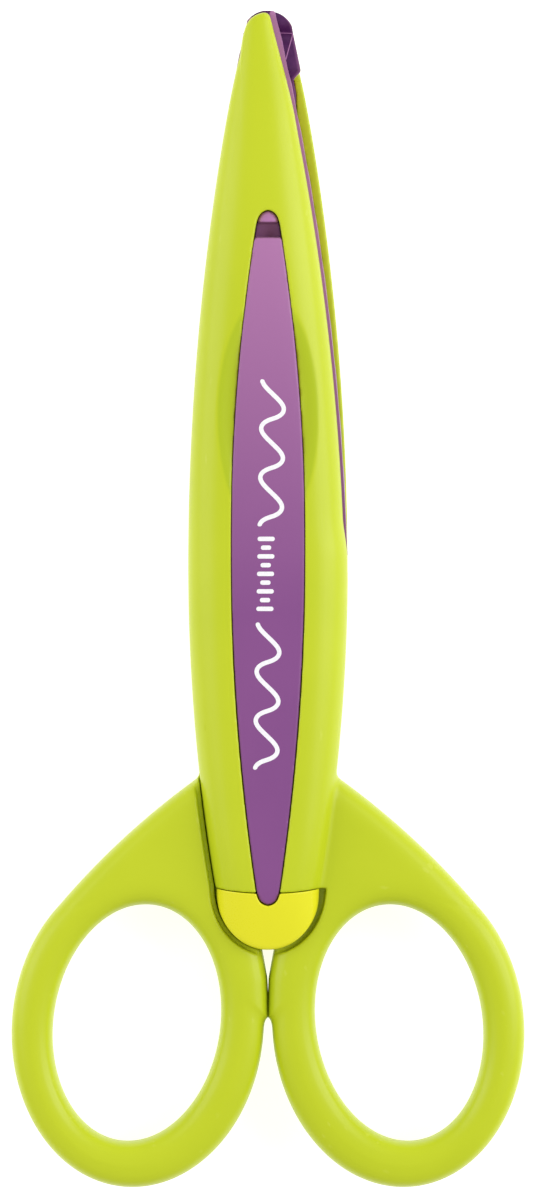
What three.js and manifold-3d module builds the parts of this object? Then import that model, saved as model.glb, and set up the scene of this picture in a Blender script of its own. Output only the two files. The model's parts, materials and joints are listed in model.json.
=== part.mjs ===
// Decorative edge scissors: two identical handle mouldings on one pivot, each carrying a wavy plastic
// blade, a pattern spine that clips the blade in through a slot, and a sprung release button.
// Millimetres. The scissors lie flat: +Z is up, +Y points at the tip, and the origin is on the surface
// that they lie on, under the middle of their length. Each half is modelled on its own, with the pivot
// axis at x = y = 0, above a mid-plane at z = 0, and with its cutting edge and its finger bow on the +X
// side. The rear half is the same thing turned over.
import * as THREE from "three";
import { mergeVertices } from "three/addons/utils/BufferGeometryUtils.js";
import Module from "manifold-3d";

const wasm = await Module();
wasm.setup();

// Arm: the boat-shaped body, seen from above.
const tipY = 85.6;
const tipEndY = tipY - 0.05; // where the modelled tip stops
const sternY = -41.9;
const shellEndY = -33.6; // the shell stops here and the release button begins
const widestY = 10;
const bodyHalfWidth = 10.85;
const noseSideRadius = 356;
const sternSideRadius = 257;
const tipRadius = 3.65;
const shellTipInset = 0.3; // the blade shows this far beyond the shell's tip
const heelY = 11; // lower end of the cutting edge
const edgeLean = 0.0245; // how far the cutting edge leaves the outline, per mm above the heel

// Arm: its arched section, as heights above the mid-plane.
const landZ = 7.4; // the flat land along the ridge, which the scissors rest on
const crownTopZ = 8.1; // the arch would rise to here without the land
const crownNoseY = 20;
const crownNoseRadius = 430;
const crownSternY = -24;
const crownSternRadius = 60;
const shoulderZ = 1.8;
const archPower = 2.5;
const faceGap = 0.15; // from the mid-plane to the lowest face of a half
const rimZ = 1.2; // lower edge of the side wall beside the blade
const wall = 1.6; // of the shell's crown
const sideWall = 1.15;

// Thumb scoop around the spine.
const scoopY = 31.6;
const scoopHalfLength = 17;
const scoopHalfWidth = 6.8;
const scoopDepth = 0.85;

// Pattern spine and its slot.
const spineHalfWidth = 4.97;
const spineWidestY = 13;
const spineNoseRadius = 274;
const spineTailRadius = 318;
const spineTopY = 54.4;
const spineTailY = -35.8;
const spineTailRound = 1.45;
const spineThickness = 1.6;
const spineBelowShell = 0.12;
const slotClearance = 0.15;
const bedGap = 0.15; // between the spine and the floor of its slot
const slotTopY = 58.3;
const slotTopRound = 1.7;
const windowStartY = 12.4; // above this the slot opens right through the shell
const pegY = [24, 46];
const pegRadius = 1;
const pegBottomZ = 3.2;
const tabY = -31.1; // snap finger under the spine's tail

// Blade.
const waveLength = 6.4;
const waveHeight = 0.9; // half the height from trough to crest
const waveSkew = 0.45;
const waveStart = 16; // flat inside this radius, full wave outside waveFull
const waveFull = 23;
const bladeGap = 0.09; // each blade keeps this from the shared wavy surface
const bladeThickness = 1.3;
const bladeEndRadius = 12; // the blade ends on an arc round the pivot
const bladeSideInset = 1.45;
const capStartY = 76.2; // above this the blade fills the whole tip, under a cap of shell
const capBottomZ = 1.65;
const bladeTopZ = 2.3;
const bladeTopTipZ = 1.5;
const bladeRibWidth = 2.1;

// Finger bow, for the half whose bow is on the +X side.
const bowHalfThickness = 3.9;
const bowRound = 2.5;
const bowCentre = [17.73, -52.6];
const bowRadii = [17.15, 21.87];
const bowTilt = THREE.MathUtils.degToRad(4.8);
const holeCentre = [17.85, -52.09];
const holeRadii = [11.32, 16.19];
const holeTilt = THREE.MathUtils.degToRad(8.6);
const armClearance = 0.7; // between an arm and the other half's bow

// Release button.
const plateTopZ = 2.4; // plate under the button
const buttonBottomZ = 3.3;
const buttonTravel = 0.7;
const buttonGap = 0.2;
const postY = -38.4;
const postRadius = 1.4;
const buttonWall = 1.3;
const springRadius = 1.9;
const springWire = 0.2;
const springTurns = 2.5;

// Pivot.
const shaftRadius = 2;
const boreRadius = 2.12;
const headRadius = 3.6;
const bedZ = 4.2; // counterbore floor under the screw head and the nut
const thrustHalf = 0.25;
const washerRadius = 4.5;

const up = 12; // higher than anything in a half
const colours = {
  lime: 0xc3d62f,
  purple: 0x94609b,
  yellow: 0xe6e033,
  steel: 0xb9bcc0,
  nylon: 0xe9e6dc,
};

// ---------- Helpers ----------

const range = (from, to, count) => Array.from({ length: count }, (_, i) => from + ((to - from) * i) / (count - 1));
const mix = THREE.MathUtils.lerp;
const smooth = (from, to, value) => THREE.MathUtils.smoothstep(value, from, to);

function solid(geometry) {
  const bare = geometry.clone();
  bare.deleteAttribute("normal");
  bare.deleteAttribute("uv");
  const merged = mergeVertices(bare, 1e-4);
  return new wasm.Manifold(
    new wasm.Mesh({
      numProp: 3,
      vertProperties: new Float32Array(merged.attributes.position.array),
      triVerts: new Uint32Array(merged.index.array),
    }),
  );
}

function geometryOf(body) {
  const mesh = body.getMesh();
  const geometry = new THREE.BufferGeometry();
  geometry.setAttribute("position", new THREE.BufferAttribute(new Float32Array(mesh.vertProperties), 3));
  geometry.setIndex(new THREE.BufferAttribute(new Uint32Array(mesh.triVerts), 1));
  geometry.computeVertexNormals();
  return geometry;
}

// A closed skin through rings of [x, y, z] points, all with the same count, with flat caps at both ends.
function loft(rings) {
  const count = rings[0].length;
  const index = [];
  for (let i = 0; i < rings.length - 1; i++) {
    for (let j = 0; j < count; j++) {
      const k = (j + 1) % count;
      const [a, b] = [i * count, (i + 1) * count];
      index.push(a + j, a + k, b + k, a + j, b + k, b + j);
    }
  }
  const cap = (start, forward) => {
    const outline = rings[start].map(([x, , z]) => new THREE.Vector2(x, z));
    const turn = Math.sign(THREE.ShapeUtils.area(outline));
    for (const face of THREE.ShapeUtils.triangulateShape(outline, [])) {
      const faceTurn = Math.sign(THREE.ShapeUtils.area(face.map((v) => outline[v])));
      const [a, b, c] = face.map((v) => start * count + v);
      index.push(...(faceTurn === turn === forward ? [a, b, c] : [a, c, b]));
    }
  };
  cap(0, false);
  cap(rings.length - 1, true);
  const geometry = new THREE.BufferGeometry();
  geometry.setAttribute("position", new THREE.Float32BufferAttribute(rings.flat(2), 3));
  geometry.setIndex(index);
  const ringTurn = THREE.ShapeUtils.area(rings[0].map(([x, , z]) => new THREE.Vector2(x, z)));
  const facesOut = ringTurn < 0 === rings[0][0][1] < rings.at(-1)[0][1];
  if (!facesOut) index.reverse(), geometry.setIndex(index);
  return solid(geometry);
}

// A body over stations in y, between left(y) and right(y), from bottom(y) up to top(x, y). spread(y)
// gives the places across it that have a vertex, from -1 on the left to 1 on the right.
function heightBody(stations, { left, right, bottom, top, spread = () => [-1, 0, 1] }) {
  return loft(
    stations.map((y) => {
      const [l, r, b] = [left(y), right(y), bottom(y)];
      const xs = spread(y).map((share) => (l + r) / 2 + ((r - l) / 2) * share);
      return [[l, y, b], ...xs.map((x) => [x, y, top(x, y)]), [r, y, b]];
    }),
  );
}

function box(x0, x1, y0, y1, z0, z1) {
  const geometry = new THREE.BoxGeometry(x1 - x0, y1 - y0, z1 - z0);
  return solid(geometry.translate((x0 + x1) / 2, (y0 + y1) / 2, (z0 + z1) / 2));
}

function rod(radius, z0, z1, y = 0, sides = 24) {
  const geometry = new THREE.CylinderGeometry(radius, radius, z1 - z0, sides);
  return solid(geometry.rotateX(Math.PI / 2).translate(0, y, (z0 + z1) / 2));
}

// A turned part about the pivot axis, from a profile of [radius, z] points.
function turned(profile, sides = 32) {
  const points = profile.map(([r, z]) => new THREE.Vector2(r, z));
  return solid(new THREE.LatheGeometry(points, sides).rotateX(Math.PI / 2));
}

const union = (...bodies) => bodies.reduce((all, body) => all.add(body));
const cut = (body, ...tools) => tools.reduce((left, tool) => left.subtract(tool), body);

// ---------- Outlines and surfaces of a half ----------

// Half the width of the boat-shaped arm, grown by extra all round.
function armHalfWidth(y, extra = 0) {
  const radius = y > widestY ? noseSideRadius : sternSideRadius;
  const side = bodyHalfWidth - (Math.max(y, shellEndY) - widestY) ** 2 / (2 * radius) + extra;
  const tipCentreY = tipY - tipRadius;
  if (y > tipCentreY) return Math.min(side, Math.sqrt(Math.max(0, tipRadius ** 2 - (y - tipCentreY) ** 2)));
  if (y < shellEndY) {
    const t = Math.min(1, (shellEndY - y) / (shellEndY - sternY + extra));
    return side * Math.sqrt(1 - t ** 2);
  }
  return side;
}

// The cutting edge runs just inside the arm's outline above the heel.
const cuttingEdgeX = (y) => {
  const side = bodyHalfWidth - (y - widestY) ** 2 / (2 * noseSideRadius);
  return Math.min(side - edgeLean * (y - heelY), armHalfWidth(y));
};

// Width of the bevelled strip of blade that shows beside the shell.
const stripWidth = (y) => (0.45 + 0.45 * smooth(70, 85, y)) * smooth(heelY, heelY + 6, y);
const bladeTop = (y) => mix(bladeTopZ, bladeTopTipZ, smooth(67, 74, y));

const armLeft = (y) => -armHalfWidth(y + shellTipInset * smooth(tipY - 8, tipY - 4, y));
const armRight = (y) => (y > heelY ? cuttingEdgeX(y) - stripWidth(y) : armHalfWidth(y));

function crownZ(y) {
  if (y > crownNoseY) return crownTopZ - (y - crownNoseY) ** 2 / (2 * crownNoseRadius);
  if (y < crownSternY) return crownTopZ - (y - crownSternY) ** 2 / (2 * crownSternRadius);
  return crownTopZ;
}

// Where the arch meets the flat land, as a share of its half width. Vertices are placed there.
function landEdge(y) {
  const rise = (landZ - shoulderZ) / (crownZ(y) - shoulderZ);
  return (1 - Math.min(1, rise) ** archPower) ** (1 / archPower);
}

function archSpread(y) {
  const edge = Math.max(0.45, landEdge(y));
  const side = range(0, 1, 5).map((t) => edge + (1 - edge) * Math.sin((t * Math.PI) / 2));
  return [...side.map((share) => -share).reverse(), -edge / 2, 0, edge / 2, ...side];
}

// The arched outer surface, or one inset below it.
function archZ(x, y, inset = 0) {
  const [left, right] = [armLeft(y) + inset, armRight(y) - inset];
  const u = Math.min(1, Math.abs((2 * x - left - right) / (right - left)));
  const arch = shoulderZ + (crownZ(y) - inset - shoulderZ) * (1 - u ** archPower) ** (1 / archPower);
  return Math.min(landZ - inset, arch);
}

function shellZ(x, y) {
  const reach = Math.hypot(x / scoopHalfWidth, (y - scoopY) / scoopHalfLength);
  return archZ(x, y) - scoopDepth * (1 - smooth(0.78, 1, reach));
}

function spineHalf(y) {
  const radius = y > spineWidestY ? spineNoseRadius : spineTailRadius;
  const side = spineHalfWidth - (y - spineWidestY) ** 2 / (2 * radius);
  const roundStart = spineTailY + spineTailRound;
  return y < roundStart ? spineTailRound * Math.sqrt(Math.max(0, 1 - ((roundStart - y) / spineTailRound) ** 2)) : side;
}

const spineBottom = (y) => archZ(0, y) - spineBelowShell - spineThickness;

function slotHalf(y, clearance) {
  const roundStart = slotTopY - slotTopRound;
  const side = spineHalf(THREE.MathUtils.clamp(y, spineTailY + spineTailRound, roundStart)) + clearance;
  return y > roundStart ? side * Math.sqrt(Math.max(0, 1 - ((y - roundStart) / slotTopRound) ** 2)) : side;
}

const slotBody = (stations, clearance, bottom, top) =>
  heightBody(stations, {
    left: (y) => -Math.max(0.05, slotHalf(y, clearance)),
    right: (y) => Math.max(0.05, slotHalf(y, clearance)),
    bottom,
    top,
  });

// The wavy surface that both blades share: rings round the pivot, so that they mesh at any angle.
function waveZ(radius) {
  const turn = (2 * Math.PI * radius) / waveLength;
  return waveHeight * smooth(waveStart, waveFull, radius) * Math.sin(turn + waveSkew * Math.sin(turn));
}

// ---------- Handle: arm shell and finger bow in one moulding ----------

function bowSlab() {
  const outline = new THREE.Shape();
  outline.moveTo(2, -21);
  outline.lineTo(9.9, -18.4);
  outline.lineTo(21.5, -28.9);
  outline.quadraticCurveTo(26.3, -33.4, 29.64, -37.5);
  const [from, to] = [40, -190].map(THREE.MathUtils.degToRad);
  outline.absellipse(...bowCentre, ...bowRadii, from, to, true, bowTilt);
  outline.lineTo(0.2, -48.6);
  outline.lineTo(0.2, -46);
  outline.lineTo(0.9, -42);
  outline.lineTo(2, -36);
  const hole = new THREE.Path();
  hole.absellipse(...holeCentre, ...holeRadii, 0, 2 * Math.PI, false, holeTilt);
  outline.holes.push(hole);
  const geometry = new THREE.ExtrudeGeometry(outline, {
    depth: 2 * (bowHalfThickness - bowRound),
    bevelThickness: bowRound,
    bevelSize: bowRound,
    bevelOffset: -bowRound,
    bevelSegments: 2,
    curveSegments: 12,
  });
  return solid(geometry.translate(0, 0, bowRound - bowHalfThickness));
}

// Stations for the stern's half ellipse, closer together towards its end.
const sternYs = (extra) =>
  range(87, 0, 8).map((deg) => shellEndY - (shellEndY - sternY + extra) * Math.sin(THREE.MathUtils.degToRad(deg)));

// The plan outline of the arm's lower end, up to toY and grown by extra, as a body between two heights.
function armPlan(toY, extra, z0, z1, count = 2) {
  return heightBody([...sternYs(extra), ...range(shellEndY, toY, count).slice(1)], {
    left: (y) => -Math.max(0.3, armHalfWidth(y, extra)),
    right: (y) => Math.max(0.3, armHalfWidth(y, extra)),
    bottom: () => z0,
    top: () => z1,
  });
}

function armShell() {
  const stations = [...range(shellEndY, -24, 3), ...range(-14, 11, 3), ...range(14, 50, 13), ...range(56, 79, 4), ...range(81.5, tipEndY - shellTipInset, 6)];
  return heightBody(stations, { left: armLeft, right: armRight, bottom: () => faceGap, top: shellZ, spread: archSpread });
}

// The hollow that the blade lies in.
function bladeHollow() {
  const hollow = heightBody(range(6, capStartY + 0.2, 11), {
    left: (y) => armLeft(y) + sideWall,
    right: (y) => armRight(y) - sideWall,
    bottom: () => -1,
    top: (x, y) => Math.max(archZ(x, y, wall), bladeTop(y) + 0.15),
    spread: () => [-1, -0.9, -0.7, -0.4, 0, 0.4, 0.7, 0.9, 1],
  });
  return cut(hollow, rod(bladeEndRadius - 0.25, -2, up, 0, 40));
}

// The blade's cutting side is open below the strip, and the tip is open below its cap.
function edgeOpening() {
  const side = heightBody(range(9.4, 83, 16), {
    left: (y) => armRight(y) - sideWall - 1.6,
    right: () => 16,
    bottom: () => -1,
    top: (x, y) => bladeTop(y) + 0.15,
  });
  const rims = cut(box(-16, 16, 8, capStartY + 1, -1, rimZ), rod(bladeEndRadius - 0.25, -2, up, 0, 40));
  const tip = box(-16, 16, capStartY, tipY + 1, -1, capBottomZ);
  return [side, rims, tip];
}

// Cored pockets under the pivot end of the arm, divided by ribs.
function coredPockets() {
  const pocket = heightBody(range(-30.5, 1, 10), {
    left: (y) => armLeft(y) + wall + 0.2,
    right: (y) => armRight(y) - wall - 0.2,
    bottom: () => -1,
    top: () => bedZ - 0.2,
  });
  const ribs = [
    rod(6.2, -2, up, 0, 32),
    box(-0.8, 0.8, -34, 2, -2, up),
    box(-12, 12, -17.6, -16.2, -2, up),
    box(-3.2, 3.2, -34, -28.2, -2, up),
  ];
  return cut(pocket, ...ribs);
}

function handle() {
  const arm = armShell();
  const plate = armPlan(shellEndY + 1, 0, faceGap, plateTopZ);
  const otherArm = armPlan(4, armClearance, -6, faceGap, 9);
  const buttonWell = cut(
    armPlan(shellEndY + 0.5, armClearance, plateTopZ, up),
    box(-12, 12, shellEndY, shellEndY + 2, -1, up + 1),
  );
  const window = slotBody([...range(windowStartY, 56.4, 12), ...range(57, slotTopY - 0.02, 5)], slotClearance, () => 1, () => up);
  const bed = slotBody(range(-36, windowStartY + 0.2, 14), slotClearance, (y) => spineBottom(y) - bedGap, () => up);
  return cut(
    union(arm, cut(bowSlab(), otherArm), plate),
    buttonWell,
    bladeHollow(),
    ...edgeOpening(),
    coredPockets(),
    window,
    bed,
    rod(boreRadius, -2, up, 0, 32),
    rod(washerRadius + 0.25, -1, thrustHalf + 0.05, 0, 32),
    rod(headRadius + 0.6, bedZ, up, 0, 32),
    rod(postRadius + 0.35, -1, up, postY),
    rod(2.2, -1, 1.3, postY),
    box(-1.5, 1.5, tabY - 0.8, tabY + 0.8, 2, up),
  );
}

// ---------- Blade ----------

const bladeLeft = (y) => -mix(armHalfWidth(y) - bladeSideInset, armHalfWidth(y) - 0.05, smooth(capStartY, capStartY + 1.4, y));
const bladeRight = (y) => mix(armHalfWidth(y) - bladeSideInset, cuttingEdgeX(y), smooth(9.8, 11.6, y));

// Where a side line x = side(y) crosses the circle of a given radius round the pivot.
function crossing(side, radius) {
  let y = radius;
  for (let i = 0; i < 12; i++) y = Math.sqrt(Math.max(1, radius ** 2 - side(y) ** 2));
  return side(y);
}

// Rows follow circles round the pivot. direction is 1 for the front blade and -1 for the rear one,
// whose own up is the other way, so that the two wavy faces fit each other.
function bladePlate(direction) {
  const radii = [12, 13.5, 14.8, 16.2, ...range(17.4, tipY - 1.2, 54), tipY - 0.5, tipEndY];
  return loft(
    radii.map((radius) => {
      const yOf = (x) => Math.sqrt(radius ** 2 - x ** 2);
      const face = direction * waveZ(radius) + bladeGap;
      const back = Math.min(face + bladeThickness, bladeTop(radius));
      const left = crossing(bladeLeft, radius);
      const edge = crossing(bladeRight, radius);
      const strip = Math.min(stripWidth(yOf(edge)), 0.3 * (edge - left));
      const ribTop = bladeTop(radius) + 0.01;
      const ribLeft = Math.max(edge - strip - bladeRibWidth, mix(left, edge, 0.4));
      const bottomXs = range(left, edge, 5);
      const topXs = [ribLeft - 0.1, ...range(ribLeft - 0.1, left, 3).slice(1)];
      const point = (x, z) => [x, yOf(x), z];
      return [
        ...bottomXs.map((x) => point(x, face)),
        point(edge - strip, ribTop),
        point(ribLeft, ribTop),
        ...topXs.map((x) => point(x, back)),
      ];
    }),
  );
}

// The pad under the spine, with a thumbnail pocket and a domed nose at its upper end.
function bladePad() {
  const nailStart = spineTopY + 0.2;
  const domeStart = nailStart + 1.9;
  const padTop = (y) => {
    if (y < nailStart) return spineBottom(y) - 0.08;
    if (y < domeStart) return archZ(0, y) - 2.4;
    return archZ(0, y) - 0.55 - 1.2 * ((y - domeStart) / (slotTopY - domeStart)) ** 2;
  };
  const stations = [...range(14, nailStart - 0.01, 8), nailStart + 0.01, domeStart - 0.01, domeStart + 0.01, ...range(57.3, slotTopY - 0.15, 3)];
  return heightBody(stations, {
    left: (y) => -Math.min(3, slotHalf(y + 0.1, -0.1)),
    right: (y) => Math.min(3, slotHalf(y + 0.1, -0.1)),
    bottom: () => 0.95,
    top: (x, y) => padTop(y),
  });
}

function blade(direction) {
  const sockets = pegY.map((y) => rod(pegRadius + 0.2, pegBottomZ - 0.4, up, y, 20));
  return cut(bladePlate(direction).add(bladePad()), rod(bladeEndRadius, -2, up, 0, 40), ...sockets);
}

// ---------- Spine ----------

function spine() {
  const stations = [...range(spineTailY + 0.03, spineTailY + spineTailRound, 5), ...range(-30, 12, 6), ...range(18, spineTopY - 0.5, 7), spineTopY];
  const half = (y) => Math.max(0.25, spineHalf(y) - (y > spineTopY - 0.2 ? 0.35 : 0));
  const body = heightBody(stations, {
    left: (y) => -half(y),
    right: half,
    bottom: spineBottom,
    top: (x, y) => archZ(x, y) - spineBelowShell,
    spread: () => [-1, -0.5, 0, 0.5, 1],
  });
  const pegs = pegY.map((y) => rod(pegRadius, pegBottomZ, spineBottom(y) + 0.5, y, 20));
  const snapFinger = box(-1.2, 1.2, tabY - 0.45, tabY + 0.45, 2.9, spineBottom(tabY) + 0.5);
  return union(body, ...pegs, snapFinger);
}

// ---------- Release button, its spring and its screw ----------

function button() {
  const stations = sternYs(0).map((y) => Math.min(y, shellEndY - buttonGap));
  const cap = heightBody(stations, {
    left: (y) => -Math.max(0.6, armHalfWidth(y)),
    right: (y) => Math.max(0.6, armHalfWidth(y)),
    bottom: () => buttonBottomZ,
    top: (x, y) => Math.max(buttonBottomZ + 0.3, archZ(x, y)),
    spread: archSpread,
  });
  const ceiling = crownZ(postY) - buttonWall;
  const hollow = heightBody(range(sternY + 1.15, spineTailY - 0.3, 6), {
    left: (y) => -armHalfWidth(y) + 1.5,
    right: (y) => armHalfWidth(y) - 1.5,
    bottom: () => buttonBottomZ - 1,
    top: () => ceiling,
  });
  const tailRoundY = spineTailY + spineTailRound;
  const notchBottom = spineBottom(spineTailY) - 0.15;
  const notch = slotBody([tailRoundY, shellEndY + 1], slotClearance, () => notchBottom, () => up);
  const tailNotch = notch.add(rod(spineTailRound + slotClearance, notchBottom, up, tailRoundY));
  const post = rod(postRadius, 1.32, ceiling + 0.5, postY);
  return cut(union(cut(cap, hollow), post), tailNotch, rod(0.75, 0, ceiling - 0.3, postY, 12));
}

class SpringLine extends THREE.Curve {
  getPoint(t, target = new THREE.Vector3()) {
    const angle = 2 * Math.PI * springTurns * t;
    const [z0, z1] = [plateTopZ + springWire + 0.08, crownZ(postY) - buttonWall - springWire - 0.08];
    return target.set(springRadius * Math.cos(angle), postY + springRadius * Math.sin(angle), mix(z0, z1, t));
  }
}

function buttonSpring() {
  const section = new THREE.Shape().absarc(0, 0, springWire, 0, 2 * Math.PI);
  const options = { steps: 24, curveSegments: 3, bevelEnabled: false, extrudePath: new SpringLine() };
  return solid(new THREE.ExtrudeGeometry(section, options));
}

function buttonScrew() {
  const head = rod(1.9, 0.78, 1.26, postY, 20);
  const slot = box(-0.2, 0.2, postY - 1.3, postY + 1.3, 0.7, 0.98);
  return cut(head.add(rod(0.62, 1.2, 3.6, postY, 12)), slot);
}

// ---------- Pivot ----------

function pivotScrew() {
  const top = 5.5;
  const body = turned([[0, -top], [1.6, -top], [1.6, -bedZ - 0.45], [shaftRadius, -bedZ - 0.4], [shaftRadius, bedZ + 0.34], [headRadius, bedZ + 0.34], [headRadius, top - 0.25], [headRadius - 0.3, top], [0, top]]);
  const driveSlot = box(-2.6, 2.6, -0.45, 0.45, top - 0.55, top + 1);
  return cut(body, driveSlot);
}

function pivotNut() {
  const [z0, z1] = [-5.5, -bedZ - 0.46];
  const body = turned([[1.7, z0], [3.1, z0], [3.4, z0 + 0.3], [3.4, z1], [1.7, z1], [1.7, z0]]);
  const keySlot = box(-4, 4, -0.5, 0.5, z0 - 1, z0 + 0.35);
  return cut(body, keySlot);
}

const headWasher = () => turned([[2.1, bedZ + 0.02], [3.9, bedZ + 0.02], [3.9, bedZ + 0.3], [2.1, bedZ + 0.3], [2.1, bedZ + 0.02]]);

// A dished spring washer: its outer edge bears on the rear handle and its inner edge on the nut.
function springWasher() {
  const [outer, inner] = [-bedZ - 0.02, -bedZ - 0.16];
  return turned([[2.15, inner - 0.25], [3.9, outer - 0.25], [3.9, outer], [2.15, inner], [2.15, inner - 0.25]]);
}

const thrustWasher = () =>
  turned([[2.15, -thrustHalf], [washerRadius, -thrustHalf], [washerRadius, thrustHalf], [2.15, thrustHalf], [2.15, -thrustHalf]]);

// ---------- Assembly ----------

function material(colour, roughness, metalness = 0) {
  return new THREE.MeshStandardMaterial({ color: colour, roughness, metalness });
}

const lime = material(colours.lime, 0.38);
const purple = material(colours.purple, 0.35);
const yellow = material(colours.yellow, 0.32);
const steel = material(colours.steel, 0.3, 1);
const nylon = material(colours.nylon, 0.5);

function piece(name, body, look) {
  const mesh = new THREE.Mesh(geometryOf(body), look);
  mesh.name = name;
  return mesh;
}

function half(side, direction) {
  const group = new THREE.Group();
  group.add(
    piece(`${side}_handle`, handle(), lime),
    piece(`${side}_blade`, blade(direction), purple),
    piece(`${side}_pattern_spine`, spine(), purple),
    piece(`${side}_release_button`, button(), yellow),
    piece(`${side}_button_spring`, buttonSpring(), steel),
    piece(`${side}_button_screw`, buttonScrew(), steel),
  );
  return group;
}

const frontHalf = half("front", 1);
const rearHalf = half("rear", -1);
rearHalf.rotation.y = Math.PI;

const pivot = new THREE.Group();
pivot.add(
  piece("pivot_screw", pivotScrew(), steel),
  piece("pivot_nut", pivotNut(), steel),
  piece("pivot_head_washer", headWasher(), steel),
  piece("pivot_spring_washer", springWasher(), steel),
  piece("pivot_thrust_washer", thrustWasher(), nylon),
);

// The middle of the overall length is the origin's place along Y.
const [bowA, bowB] = bowRadii;
const bowBottomY = bowCentre[1] - Math.hypot(bowA * Math.sin(bowTilt), bowB * Math.cos(bowTilt));
const scissors = new THREE.Group();
scissors.add(rearHalf, frontHalf, pivot);
scissors.position.set(0, -(tipEndY + bowBottomY) / 2, landZ);

export default scissors;
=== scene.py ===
import json
import math

import bmesh
import bpy
from mathutils import Matrix, Vector
from mathutils.bvhtree import BVHTree


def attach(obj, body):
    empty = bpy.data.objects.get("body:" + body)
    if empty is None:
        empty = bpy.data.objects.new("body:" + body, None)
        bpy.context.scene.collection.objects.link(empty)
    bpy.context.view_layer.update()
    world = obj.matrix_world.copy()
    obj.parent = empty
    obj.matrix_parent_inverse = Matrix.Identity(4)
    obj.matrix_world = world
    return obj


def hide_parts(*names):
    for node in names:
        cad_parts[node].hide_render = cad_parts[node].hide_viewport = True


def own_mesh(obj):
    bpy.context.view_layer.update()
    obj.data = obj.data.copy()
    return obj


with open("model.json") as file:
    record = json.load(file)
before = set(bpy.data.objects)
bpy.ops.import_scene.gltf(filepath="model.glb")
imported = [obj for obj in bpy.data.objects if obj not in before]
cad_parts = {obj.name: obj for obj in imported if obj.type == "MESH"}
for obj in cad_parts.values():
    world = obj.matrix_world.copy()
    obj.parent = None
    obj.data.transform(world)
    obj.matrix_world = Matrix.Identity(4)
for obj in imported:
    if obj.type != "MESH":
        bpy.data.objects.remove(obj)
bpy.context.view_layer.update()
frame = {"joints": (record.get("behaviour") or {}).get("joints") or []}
print("frame loaded")

# Pieces are shaped in millimetres from the pivot, in the middle between the halves, as a front half:
# +Z outwards, +Y to the tip, cutting edge and finger bow on +X. The rear half is the same, turned over.
pivotJoint = next(joint for joint in frame["joints"] if joint["name"] == "blades_pivot")
toFront = Matrix.Translation(Vector(pivotJoint["pos_m"])) @ Matrix.Scale(0.001, 4)
toRear = toFront @ Matrix.Rotation(math.pi, 4, "Y")
halves = {"front": toFront, "rear": toRear}


# Node helpers: a Value is a socket that can be used in sums.
class Value:
    def __init__(self, tree, socket):
        self.tree = tree
        self.socket = socket

    def math(self, operation, *others):
        sockets = dict(enumerate((self, *others)))
        return addNode(self.tree, "ShaderNodeMath", {"operation": operation}, sockets)

    def __add__(self, other):
        return self.math("ADD", other)

    def __mul__(self, other):
        return self.math("MULTIPLY", other)

    def __sub__(self, other):
        return self.math("SUBTRACT", other)

    def __truediv__(self, other):
        return self.math("DIVIDE", other)

    def __pow__(self, other):
        return self.math("POWER", other)

    def __rsub__(self, other):
        return self.math("MULTIPLY_ADD", -1.0, other)

    def __rtruediv__(self, other):
        return (self ** -1.0) * other

    def __neg__(self):
        return self.math("MULTIPLY", -1.0)

    def __abs__(self):
        return self.math("ABSOLUTE")

    __radd__ = __add__
    __rmul__ = __mul__


def addNode(tree, kind, settings=None, sockets=None, output=0):
    node = tree.nodes.new(kind)
    for name, setting in (settings or {}).items():
        setattr(node, name, setting)
    for name, value in (sockets or {}).items():
        if isinstance(value, Value):
            tree.links.new(value.socket, node.inputs[name])
        else:
            node.inputs[name].default_value = value
    return Value(tree, node.outputs[output]) if node.outputs else node


def most(first, *others):
    for other in others:
        first = first.math("MAXIMUM", other)
    return first


def least(first, *others):
    for other in others:
        first = first.math("MINIMUM", other)
    return first


def ramp(value, start, end):  # a smooth step from 0 at start to 1 at end
    sockets = {"Value": value, "From Min": start, "From Max": end}
    return addNode(value.tree, "ShaderNodeMapRange", {"interpolation_type": "SMOOTHSTEP"}, sockets)


def clamped(value):
    return value.math("MAXIMUM", 0.0).math("MINIMUM", 1.0)


def length(a, b):
    return (a * a + b * b).math("SQRT")


def sagging(reach, radius):  # how far a shallow arc falls away from its tangent
    return reach * reach / (radius * 2)


smoothing = 1.76  # distance of a smooth maximum for each millimetre of its corner's radius


# A corner rounded to a radius: inside both, or inside the first and outside the second.
def both(first, second, radius):
    return first.math("SMOOTH_MAX", second, smoothing * radius)


def without(first, second, radius):
    return both(first, -second, radius)


def joined(first, second, radius):  # inside either, with a fillet between them
    return first.math("SMOOTH_MIN", second, smoothing * radius)


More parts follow.
